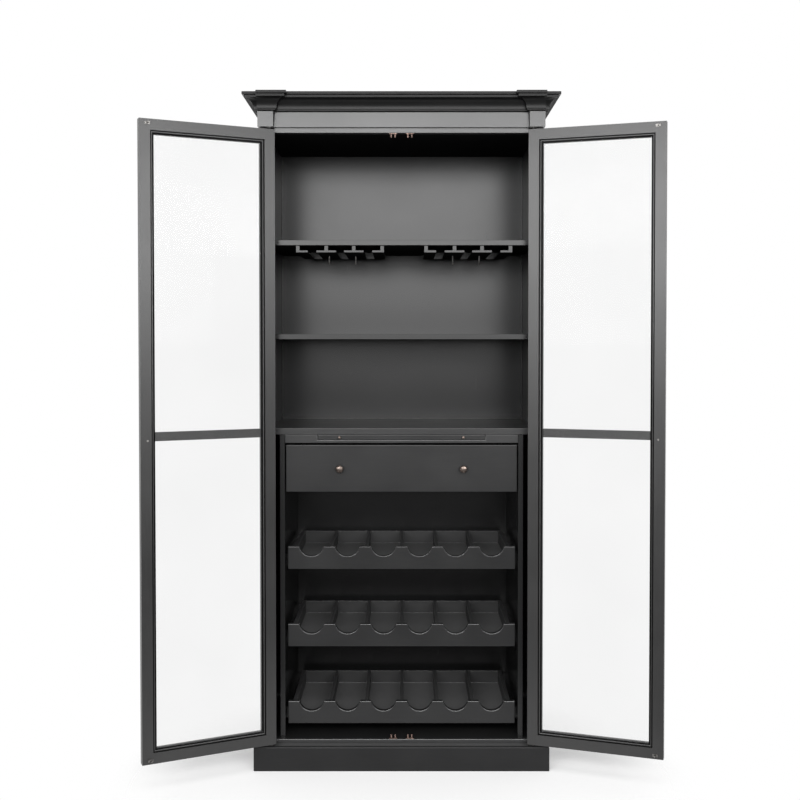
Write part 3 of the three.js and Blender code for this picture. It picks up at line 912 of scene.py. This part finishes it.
@dataclass
class Doors:
    """The two glazed doors: frames, beads, panes, knobs with their screws, and strikes."""

    shop: Workshop
    finishes: Finishes
    knobs: Knobs
    pivot_x: float = 0.3975
    pivot_y: float = -0.2455
    width: float = 0.406
    thickness: float = 0.022
    from_edge: float = 0.010
    from_face: float = 0.017
    gap: float = 0.0003
    left_opening: float = 154.5
    right_opening: float = 161.5
    knob_inset: float = 0.020
    knob_height: float = 1.023
    knob_radius: float = 0.0146
    knob_length: float = 0.026
    screw_radius: float = 0.0035
    screw_thickness: float = 0.0016
    slot_width: float = 0.0009
    bottom: float = 0.084
    top: float = 1.948
    bead_profile: tuple[Pair, ...] = (
        (0.0323, 0.0064), (0.0323, 0.0046), (0.0346, 0.0044), (0.0349, 0.003), (0.0354, 0.0024),
        (0.036, 0.0022), (0.0372, 0.0022), (0.0379, 0.0025), (0.0384, 0.0031), (0.0387, 0.0042),
        (0.0426, 0.0052), (0.043, 0.0056), (0.043, 0.0064),
    )
    bead_ridge: tuple[int, int] = (3, 7)
    frame_ease: float = 0.001
    strike_ease: float = 0.0003
    dome: tuple[Pair, ...] = (
        (0.0, 0.0), (0.98, 0.0), (1.0, 0.15), (0.94, 0.6), (0.7, 0.9), (0.3, 1.0), (0.0, 1.0),
    )

    def place(self, side: int) -> Matrix:
        """Gives the matrix from a closed door about its pivot to the open door.

        Args:
            side: -1 on the left and 1 on the right.

        Returns:
            The matrix.
        """
        opening = self.left_opening if side < 0 else self.right_opening
        turn = Matrix.Rotation(side * math.radians(opening), 4, "Z")
        return Matrix.Translation((side * self.pivot_x, self.pivot_y, 0.0)) @ turn

    def knob(self, word: str, side: int, finish: MetalFinish, steel: MetalFinish) -> None:
        """Makes a door knob on the outer face, and its slotted screw on the inner face.

        Args:
            word: The side's name.
            side: -1 on the left and 1 on the right.
            finish: The knob's plating.
            steel: The screw's plating.
        """
        across = -side * (self.width - self.knob_inset - self.from_edge)
        outer = self.from_face - self.thickness - self.gap
        shares, radius = self.knobs.shares, self.knob_radius
        piece = self.knobs.turn(f"door_{word}_knob_turned", shares, radius, self.knob_length)
        piece.data.transform(self.place(side) @ Matrix.Translation((across, outer, self.knob_height)))
        body, node = f"door_{word}", f"door_{word}_knob"
        material = self.finishes.metal("pewter_plating", finish)
        self.shop.finish_piece(piece, body, finish.slot, material, (node,))
        radius, thickness = self.screw_radius, self.screw_thickness
        screw = self.knobs.turn(f"door_{word}_knob_screw", self.dome, radius, thickness)
        self.slot_screw(screw)
        flip = Matrix.Rotation(math.pi, 4, "Z")
        seat = Matrix.Translation((across, self.from_face + self.gap, self.knob_height))
        screw.data.transform(self.place(side) @ seat @ flip)
        self.shop.finish_piece(screw, body, steel.slot, self.finishes.metal("zinc_plating", steel), ())

    def bead(
        self, word: str, side: int, paint: PaintFinish, ridge: PaintFinish, edge: PaintFinish
    ) -> None:
        """Makes the bead that holds a pane: a groove, a rounded ridge and a slope down to the glass.

        Args:
            word: The side's name.
            side: -1 on the left and 1 on the right.
            paint: The near-black paint of the groove and the slope, painted shade.
            ridge: The paint of the ridge.
            edge: The lighter paint of the ridge's edges that look up, a painted highlight.
        """
        rings = []
        for far, high in ((False, False), (True, False), (True, True), (False, True)):
            ring = []
            for inset, depth in self.bead_profile:
                across = (self.width - inset if far else inset) - self.from_edge
                height = self.top - inset if high else self.bottom + inset
                ring.append(self.place(side) @ Vector((-side * across, self.from_face - depth, height)))
            rings.append(ring)
        strip = self.shop.from_rings(f"door_{word}_bead_moulding", rings, looped=True)
        self.shop.smooth(strip, self.knobs.sharpest)
        upright = self.finishes.paint(paint, Grain.UPRIGHT)
        self.shop.finish_piece(strip, f"door_{word}", paint.slot, upright, (f"door_{word}_bead",))
        first, last = self.bead_ridge

        def is_ridge(face: Face) -> bool:
            return first <= face.index % len(self.bead_profile) <= last

        self.shop.paint_where(strip, self.finishes.paint(ridge, Grain.UPRIGHT), is_ridge)
        self.shop.paint_edge_highlights(strip, self.finishes.paint(edge, Grain.UPRIGHT))

    def slot_screw(self, screw: Piece) -> None:
        """Presses a straight slot into a screw's head.

        Args:
            screw: The screw head, with its foot at the origin.
        """
        for vert in screw.data.vertices:
            if abs(vert.co.x) < self.slot_width and vert.co.y < -self.screw_thickness * 0.5:
                vert.co.y = -self.screw_thickness * 0.5

    def make(
        self,
        paint: PaintFinish,
        bead: PaintFinish,
        edge: PaintFinish,
        glass: GlassFinish,
        pewter: MetalFinish,
        zinc: MetalFinish,
    ) -> None:
        """Makes both doors.

        Args:
            paint: The frames' paint.
            bead: The glazing beads' near-black paint, painted shade in the groove and on the slope.
            edge: The lighter paint of the beads' eased edges that look up, a painted highlight.
            glass: The panes' glass.
            pewter: The knobs' plating.
            zinc: The plating of the strikes and screws.
        """
        for word, side in (("left", -1), ("right", 1)):
            upright = self.finishes.paint(paint, Grain.UPRIGHT)
            self.shop.soften(f"door_{word}_frame", paint.slot, upright, self.frame_ease)
            self.bead(word, side, bead, paint, edge)
            pane = self.shop.frame["nodes"][f"door_{word}_glass"]
            pane.data.materials.clear()
            pane.data.materials.append(self.finishes.glass(glass))
            self.knob(word, side, pewter, zinc)
            metal = self.finishes.metal("zinc_plating", zinc)
            for level in ("top", "bottom"):
                self.shop.soften(f"door_{word}_strike_{level}", zinc.slot, metal, self.strike_ease)
            LOG.info("the %s door is hung", word)


@dataclass
class Hardware:
    """The pivot plates, the roller catches and the stop pins of the stemware racks."""

    shop: Workshop
    finishes: Finishes
    pin_places: tuple[float, ...] = (-0.23125, -0.14675, 0.16275, 0.24725)
    pin_depth: float = -0.055
    pin_radius: float = 0.0019
    pin_low: float = 1.5558
    pin_high: float = 1.584
    pin_sides: int = 20
    pin_rings: tuple[Pair, ...] = ((0.0, 0.6), (0.04, 1.0), (1.0, 1.0))
    sharpest: float = 40.0
    plate_ease: float = 0.0003
    catch_ease: float = 0.0004

    def pins(self, zinc: MetalFinish) -> None:
        """Slips a bright sleeve over each stop pin.

        Args:
            zinc: Their plating.
        """
        turns = [2.0 * math.pi * step / self.pin_sides for step in range(self.pin_sides)]
        material = self.finishes.metal("zinc_plating", zinc)
        for number, place in enumerate(self.pin_places):
            rings = []
            for level, share in self.pin_rings:
                height = self.pin_low + (self.pin_high - self.pin_low) * level
                reach = self.pin_radius * share
                ring = [(reach * math.cos(turn), reach * math.sin(turn)) for turn in turns]
                rings.append([(place + x, self.pin_depth + y, height) for x, y in ring])
            pin = self.shop.from_rings(f"stop_pin_{number + 1}", rings)
            self.shop.smooth(pin, self.sharpest)
            self.shop.finish_piece(pin, "carcass", zinc.slot, material, ())

    def make(self, blackened: MetalFinish, copper: MetalFinish) -> None:
        """Eases and plates the small fittings.

        Args:
            blackened: The hinges' plating.
            copper: The catches' plating.
        """
        steel = self.finishes.metal("blackened_steel", blackened)
        warm = self.finishes.metal("copper_plating", copper)
        for level in ("top", "bottom"):
            for word in ("left", "right"):
                plate, catch = f"hinge_plate_{level}_{word}", f"catch_{level}_{word}"
                self.shop.soften(plate, blackened.slot, steel, self.plate_ease)
                self.shop.soften(catch, copper.slot, warm, self.catch_ease)


@dataclass
class Studio:
    """The white floor and backdrop, the soft lamps and the camera."""

    focal_px: float = 1110.0
    frame_px: float = 800.0
    sensor_mm: float = 36.0
    eye: Point = (0.015, -3.6105, 1.3027)
    pitch: float = 1.33
    shift_x: float = -0.008
    shift_y: float = -0.0378
    room_light: float = 0.35
    room_front: float = 0.06
    floor_glow: float = 0.25
    floor_in_glass: float = 0.2
    floor_half: float = 4.0
    floor_middle: Point = (0.0, -0.3, 0.0)
    floor_fade: Pair = (0.62, 0.9)
    room_turn: Pair = (-0.45, 0.35)
    white: ClassVar[tuple[float, float, float, float]] = (1.0, 1.0, 1.0, 1.0)

    def camera(self) -> None:
        """Sets up the camera that the photograph was taken with."""
        lens = bpy.data.cameras.new("studio_camera")
        lens.sensor_width = self.sensor_mm
        lens.lens = self.focal_px / self.frame_px * self.sensor_mm
        lens.shift_x = self.shift_x
        lens.shift_y = self.shift_y
        camera = bpy.data.objects.new("studio_camera", lens)
        camera.location = self.eye
        camera.rotation_euler = (math.radians(90.0 - self.pitch), 0.0, 0.0)
        bpy.context.scene.collection.objects.link(camera)
        bpy.context.scene.camera = camera

    def world(self) -> None:
        """Shows white to the eye and through glass, a dim room in reflections, and soft grey light."""
        world = bpy.data.worlds.new("studio_white")
        bpy.context.scene.world = world
        world.use_nodes = True
        world.node_tree.nodes.clear()
        wires = Wiring(world.node_tree)
        path = wires.add("ShaderNodeLightPath").outputs
        place = wires.add("ShaderNodeTexCoord").outputs["Generated"]
        split = wires.add("ShaderNodeSeparateXYZ", {0: place}).outputs
        behind = wires.spread(split["Y"], self.room_turn, (self.room_front, 1.0), soft=True)
        reflected = wires.math("MULTIPLY", path["Is Glossy Ray"], behind)
        seen = wires.math("MAXIMUM", path["Is Camera Ray"], path["Is Transmission Ray"])
        level = wires.math("MAXIMUM", wires.math("MAXIMUM", seen, reflected), self.room_light)
        room = wires.add("ShaderNodeBackground", {"Color": self.white, "Strength": level})
        wires.add("ShaderNodeOutputWorld", {"Surface": room.outputs[0]})

    def floor(self) -> None:
        """Lays the pale floor that takes the cabinet's shadow and fades into the white around it."""
        mesh = bpy.data.meshes.new("studio_floor")
        low, high = -self.floor_half, self.floor_half
        corners = [(low, low, 0.0), (high, low, 0.0), (high, high, 0.0), (low, high, 0.0)]
        mesh.from_pydata(corners, [], [(0, 1, 2, 3)])
        floor = bpy.data.objects.new("studio_floor", mesh)
        bpy.context.scene.collection.objects.link(floor)
        material = bpy.data.materials.new("studio_floor")
        material.use_nodes = True
        wires = Wiring(material.node_tree)
        path = wires.add("ShaderNodeLightPath").outputs
        seen = wires.math("MAXIMUM", path["Is Camera Ray"], path["Is Transmission Ray"])
        seen = wires.math("MAXIMUM", seen, path["Is Glossy Ray"])
        away = wires.add("ShaderNodeVectorMath")
        away.operation = "DISTANCE"
        place = wires.add("ShaderNodeTexCoord").outputs["Object"]
        wires.fill(away, {0: place, 1: self.floor_middle})
        cover = wires.spread(away.outputs["Value"], self.floor_fade, (1.0, 0.0), soft=True)
        glazing = path["Transparent Depth"]
        bare = wires.spread(glazing, (0.0, 1.0), (1.0, self.floor_in_glass), soft=True)
        look = {
            "Base Color": (0.88, 0.88, 0.88, 1.0),
            "Roughness": 0.9,
            "Specular IOR Level": 0.1,
            "Emission Color": self.white,
            "Emission Strength": wires.spread(seen, (0.0, 1.0), (0.0, self.floor_glow), soft=True),
            "Alpha": wires.math("MULTIPLY", cover, bare),
        }
        wires.fill(wires.tree.nodes["Principled BSDF"], look)
        mesh.materials.append(material)
        floor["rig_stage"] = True

    @staticmethod
    def lamp(name: str, place: Point, target: Point, size: Pair, power: float) -> None:
        """Hangs a soft rectangular lamp.

        Args:
            name: The lamp's name.
            place: Where it hangs, in metres.
            target: What it faces.
            size: Its width and height, in metres.
            power: Its power, in watts.
        """
        light = bpy.data.lights.new(name, "AREA")
        light.shape = "RECTANGLE"
        light.size, light.size_y = size
        light.energy = power
        lamp = bpy.data.objects.new(name, light)
        lamp.location = place
        aim = Vector(target) - Vector(place)
        lamp.rotation_euler = aim.to_track_quat("-Z", "Y").to_euler()
        bpy.context.scene.collection.objects.link(lamp)

    def make(self) -> None:
        """Sets up the whole studio."""
        self.camera()
        self.world()
        self.floor()
        self.lamp("upper_softbox", (0.0, -4.4, 2.74), (0.0, 0.0, 1.9), (8.4, 0.48), 76.0)
        self.lamp("high_softbox", (0.0, -4.4, 2.25), (0.0, 0.0, 1.7), (8.4, 0.5), 132.0)
        self.lamp("low_softbox", (0.0, -4.4, 1.65), (0.0, 0.0, 1.5), (6.0, 0.7), 60.0)
        self.lamp("top_softbox", (0.0, -1.9, 3.6), (0.0, 0.0, 1.1), (2.6, 1.6), 16.0)
        self.lamp("left_softbox", (-3.2, -2.4, 2.5), (-0.3, 0.0, 1.6), (1.4, 1.2), 10.0)
        self.lamp("right_softbox", (3.2, -2.4, 2.5), (0.3, 0.0, 1.6), (1.4, 1.2), 10.0)
        bpy.context.scene.view_settings.view_transform = "Standard"


CASE_PAINT = PaintFinish(
    "case_satin",
    "case_paint",
    (0.011, 0.011, 0.0114),
    (0.02, 0.02, 0.0203),
    roughness=0.36,
    peel=0.00004,
    shine=0.75,
)
FRIEZE_PAINT = PaintFinish(
    "frieze_satin",
    "case_paint",
    (0.012, 0.012, 0.0124),
    (0.021, 0.021, 0.0213),
    roughness=0.38,
    peel=0.00004,
    shine=1.0,
)
CORNICE_PAINT = PaintFinish(
    "cornice_satin",
    "case_paint",
    (0.005, 0.005, 0.0051),
    (0.009, 0.009, 0.0091),
    roughness=0.34,
    peel=0.00003,
    shine=0.22,
)
CORNICE_SIDE_PAINT = PaintFinish(
    "cornice_side_satin",
    "case_paint",
    (0.005, 0.005, 0.0051),
    (0.009, 0.009, 0.0091),
    roughness=0.5,
    shine=0.05,
)
INSIDE_PAINT = PaintFinish(
    "inside_satin",
    "inside_paint",
    (0.0065, 0.0065, 0.0067),
    (0.0085, 0.0085, 0.0087),
    roughness=0.26,
    spread=0.04,
    peel=0.00001,
    shine=0.4,
)
COUNTER_PAINT = PaintFinish(
    "counter_satin",
    "inside_paint",
    (0.012, 0.012, 0.0124),
    (0.02, 0.02, 0.0203),
    roughness=0.34,
    peel=0.00003,
    shine=0.55,
)
# Darker, matt copy of the inside paint for faces that look down: painted shade under shelves, tops and
# racks.
UNDERSIDE_SHADE_PAINT = PaintFinish(
    "underside_matt_shade",
    "inside_paint",
    (0.005, 0.005, 0.0051),
    (0.009, 0.009, 0.0091),
    roughness=0.8,
    shine=0.05,
)
STORAGE_PAINT = PaintFinish(
    "storage_satin",
    "storage_paint",
    (0.012, 0.012, 0.0124),
    (0.021, 0.021, 0.0213),
    roughness=0.36,
    peel=0.00005,
    shine=0.36,
)
# Lighter copy of the dark storage paint for the rack boxes: painted light standing in for the light
# that reaches into them.
RACK_LIT_PAINT = PaintFinish(
    "rack_satin",
    "storage_paint",
    (0.04, 0.04, 0.0404),
    (0.056, 0.056, 0.0565),
    roughness=0.5,
    shine=0.12,
)
# Lighter paint for the rack boxes' upper faces: painted light standing in for the light and reflections
# on their floors.
RACK_FLOOR_LIGHT_PAINT = PaintFinish(
    "rack_floor_painted_light",
    "storage_paint",
    (0.13, 0.13, 0.131),
    (0.18, 0.18, 0.181),
    roughness=0.5,
    shine=0.3,
)
# Lighter paint for eased edges and upper faces that look up: a painted highlight where light catches
# them.
EDGE_HIGHLIGHT_PAINT = PaintFinish(
    "painted_edge_highlight",
    "storage_paint",
    (0.05, 0.05, 0.0505),
    (0.08, 0.08, 0.0805),
    roughness=0.36,
    shine=0.7,
)
PLINTH_PAINT = PaintFinish(
    "plinth_satin",
    "case_paint",
    (0.01, 0.01, 0.0104),
    (0.018, 0.018, 0.0183),
    roughness=0.42,
    shine=0.24,
)
DOOR_PAINT = PaintFinish(
    "door_satin",
    "door_paint",
    (0.012, 0.0118, 0.0118),
    (0.022, 0.0215, 0.0214),
    roughness=0.36,
    peel=0.00004,
    shine=0.7,
)
# Near-black paint for the bead's groove and slope: painted shade where they lie in shadow.
BEAD_SHADE_PAINT = PaintFinish(
    "bead_painted_shade",
    "door_paint",
    (0.002, 0.002, 0.002),
    (0.004, 0.0039, 0.0039),
    roughness=0.36,
    shine=0.06,
)
PEWTER = MetalFinish("pewter", (0.25, 0.2, 0.175), (0.06, 0.048, 0.042), roughness=0.27)
ZINC = MetalFinish("hinge_steel", (0.3, 0.29, 0.28), (0.1, 0.097, 0.094), roughness=0.34)
BLACKENED = MetalFinish("hinge_steel", (0.05, 0.049, 0.048), (0.02, 0.0195, 0.019), roughness=0.42)
COPPER = MetalFinish("catch_metal", (0.3, 0.21, 0.18), (0.1, 0.074, 0.064), roughness=0.32)
DOOR_GLASS = GlassFinish("door_glass", (0.2, 0.205, 0.205), clear=0.036, hazy=0.056)

UPRIGHT_CASE = ("side_panel_left", "side_panel_right", "face_stile_left", "face_stile_right")
ACROSS_CASE = ("bottom_panel",)
ACROSS_HEAD = ("head_rail", "frieze_band")
DEEP_CASE = ("plinth_side_left", "plinth_side_right")
ACROSS_INSIDE = ("top_panel", "shelf_upper", "shelf_lower", "plinth_bearers")
RUBBED_INSIDE = ("counter_top", "tray_housing")
UPRIGHT_INSIDE = ("back_panel", "liner_left", "liner_right")
DEEP_INSIDE = ("stemware_rack_left", "stemware_rack_right")
FINE_STORAGE = ("rack_box_bottom", "rack_box_middle", "rack_box_top", "drawer_box")
ACROSS_STORAGE = (
    "serving_tray",
    "drawer_front",
    "rack_front_bottom",
    "rack_front_middle",
    "rack_front_top",
)
FRONT_KNOBS = ("drawer_knob_left", "drawer_knob_right", "tray_knob_left", "tray_knob_right")


def corners() -> list[list[float]]:
    """Gives the object's box as two plain lists of numbers."""
    return [[float(number) for number in corner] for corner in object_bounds()]


def main() -> None:
    """Builds the whole scene, from the frame to the studio."""
    logging.basicConfig(level=logging.INFO)
    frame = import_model()
    finishes = Finishes(EffectGroups())
    shop = Workshop(frame)
    boards = Boards(shop, finishes)
    across, upright, deep = Grain.ACROSS, Grain.UPRIGHT, Grain.DEEP
    eased, fine, rubbed = boards.eased, boards.fine, boards.rubbed
    # Painted highlights: the lighter edge paint on the plinth's upper faces and on its eased edges that
    # look up.
    worn = {"above": EDGE_HIGHLIGHT_PAINT, "edge": EDGE_HIGHLIGHT_PAINT}
    boards.make(CASE_PAINT, upright, UPRIGHT_CASE, eased)
    boards.make(CASE_PAINT, across, ACROSS_CASE, rubbed, edge=EDGE_HIGHLIGHT_PAINT)
    boards.make(FRIEZE_PAINT, across, ACROSS_HEAD, eased)
    boards.make(PLINTH_PAINT, across, ("plinth_front",), eased, **worn)
    boards.make(PLINTH_PAINT, deep, DEEP_CASE, eased, **worn)
    boards.make(INSIDE_PAINT, upright, UPRIGHT_INSIDE, fine)
    boards.make(INSIDE_PAINT, across, ACROSS_INSIDE, fine, below=UNDERSIDE_SHADE_PAINT)
    boards.make(COUNTER_PAINT, across, RUBBED_INSIDE, rubbed, below=UNDERSIDE_SHADE_PAINT, edge=EDGE_HIGHLIGHT_PAINT)
    boards.make(INSIDE_PAINT, deep, DEEP_INSIDE, fine, below=UNDERSIDE_SHADE_PAINT)
    # The rack boxes take a lighter paint and painted light on their floors; their eased edges take a
    # painted highlight.
    boards.make(RACK_LIT_PAINT, deep, FINE_STORAGE, fine, above=RACK_FLOOR_LIGHT_PAINT, edge=EDGE_HIGHLIGHT_PAINT)
    boards.make(STORAGE_PAINT, across, ACROSS_STORAGE, rubbed, edge=EDGE_HIGHLIGHT_PAINT)
    boards.make(CORNICE_PAINT, across, ("cornice_cap",), eased)
    Cornice(shop, finishes).make(CORNICE_PAINT, CORNICE_SIDE_PAINT, FRIEZE_PAINT)
    knobs = Knobs(shop, finishes)
    for node in FRONT_KNOBS:
        knobs.on_front(node, PEWTER)
    Doors(shop, finishes, knobs).make(DOOR_PAINT, BEAD_SHADE_PAINT, EDGE_HIGHLIGHT_PAINT, DOOR_GLASS, PEWTER, ZINC)
    hardware = Hardware(shop, finishes)
    hardware.make(BLACKENED, COPPER)
    hardware.pins(ZINC)
    Studio().make()
    LOG.info("%d pieces made", len(shop.made))


if __name__ == "__main__":
    main()
